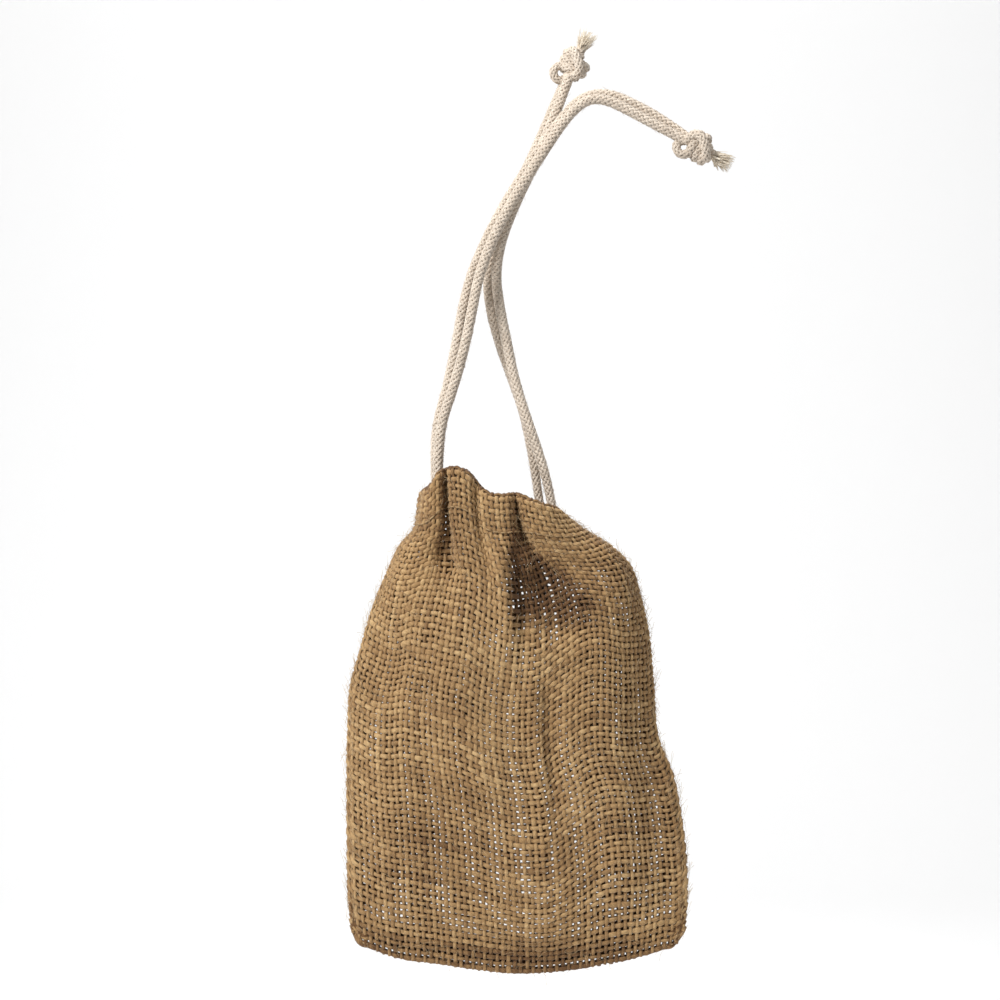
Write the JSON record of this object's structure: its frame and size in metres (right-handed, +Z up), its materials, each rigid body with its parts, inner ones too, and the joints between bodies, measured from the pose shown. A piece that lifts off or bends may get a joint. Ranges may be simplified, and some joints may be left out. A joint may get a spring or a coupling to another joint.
{
  "type": "drawstring gift pouch",
  "caption": "Coarse jute pouch gathered shut by two braided cotton drawstrings that run round its mouth channel and end in knots, hanging from a hand.",
  "frame": {"origin": "the point where a hand holds the four drawstring strands above the pouch", "axes": "+Z up, -Y out of the pouch's front, +X to the right as seen from the front"},
  "size_m": [0.1219, 0.033, 0.3012],
  "materials": {
    "jute_cloth": "coarse open plain weave, natural",
    "jute_turned_edge": "the same cloth in two layers",
    "sewing_thread": "spun thread, beige",
    "cotton_cord": "braided, unbleached, matt",
    "cotton_fray": "loose fibre ends"
  },
  "bodies": {
    "pouch": {"front_panel": "jute_cloth", "back_panel": "jute_cloth", "front_channel_hem": "jute_turned_edge", "back_channel_hem": "jute_turned_edge", "bottom_seam_allowance": "jute_turned_edge", "bottom_seam_stitching": "sewing_thread", "front_channel_stitching": "sewing_thread", "back_channel_stitching": "sewing_thread", "left_seam_allowance": "jute_turned_edge", "left_seam_stitching": "sewing_thread", "left_drawstring_channel_run": "cotton_cord", "right_seam_allowance": "jute_turned_edge", "right_seam_stitching": "sewing_thread", "right_drawstring_channel_run": "cotton_cord"},
    "left_drawstring": {"left_drawstring_front_leg": "cotton_cord", "left_drawstring_front_end": "cotton_cord", "left_drawstring_back_leg": "cotton_cord", "left_drawstring_back_end": "cotton_cord", "left_drawstring_knot": "cotton_cord", "left_drawstring_frayed_tips": "cotton_fray"},
    "right_drawstring": {"right_drawstring_front_leg": "cotton_cord", "right_drawstring_front_end": "cotton_cord", "right_drawstring_back_leg": "cotton_cord", "right_drawstring_back_end": "cotton_cord", "right_drawstring_knot": "cotton_cord", "right_drawstring_frayed_tips": "cotton_fray"}
  },
  "joints": [
    {"name": "left_drawstring_pull", "type": "slide", "parent": "pouch", "child": "left_drawstring", "axis": [0, 0, 1], "range_m": [-0.04, 0.02], "deforming": ["left_drawstring_front_leg", "left_drawstring_back_leg"]},
    {"name": "right_drawstring_pull", "type": "slide", "parent": "pouch", "child": "right_drawstring", "axis": [0, 0, 1], "range_m": [-0.04, 0.02], "deforming": ["right_drawstring_front_leg", "right_drawstring_back_leg"]}
  ]
}
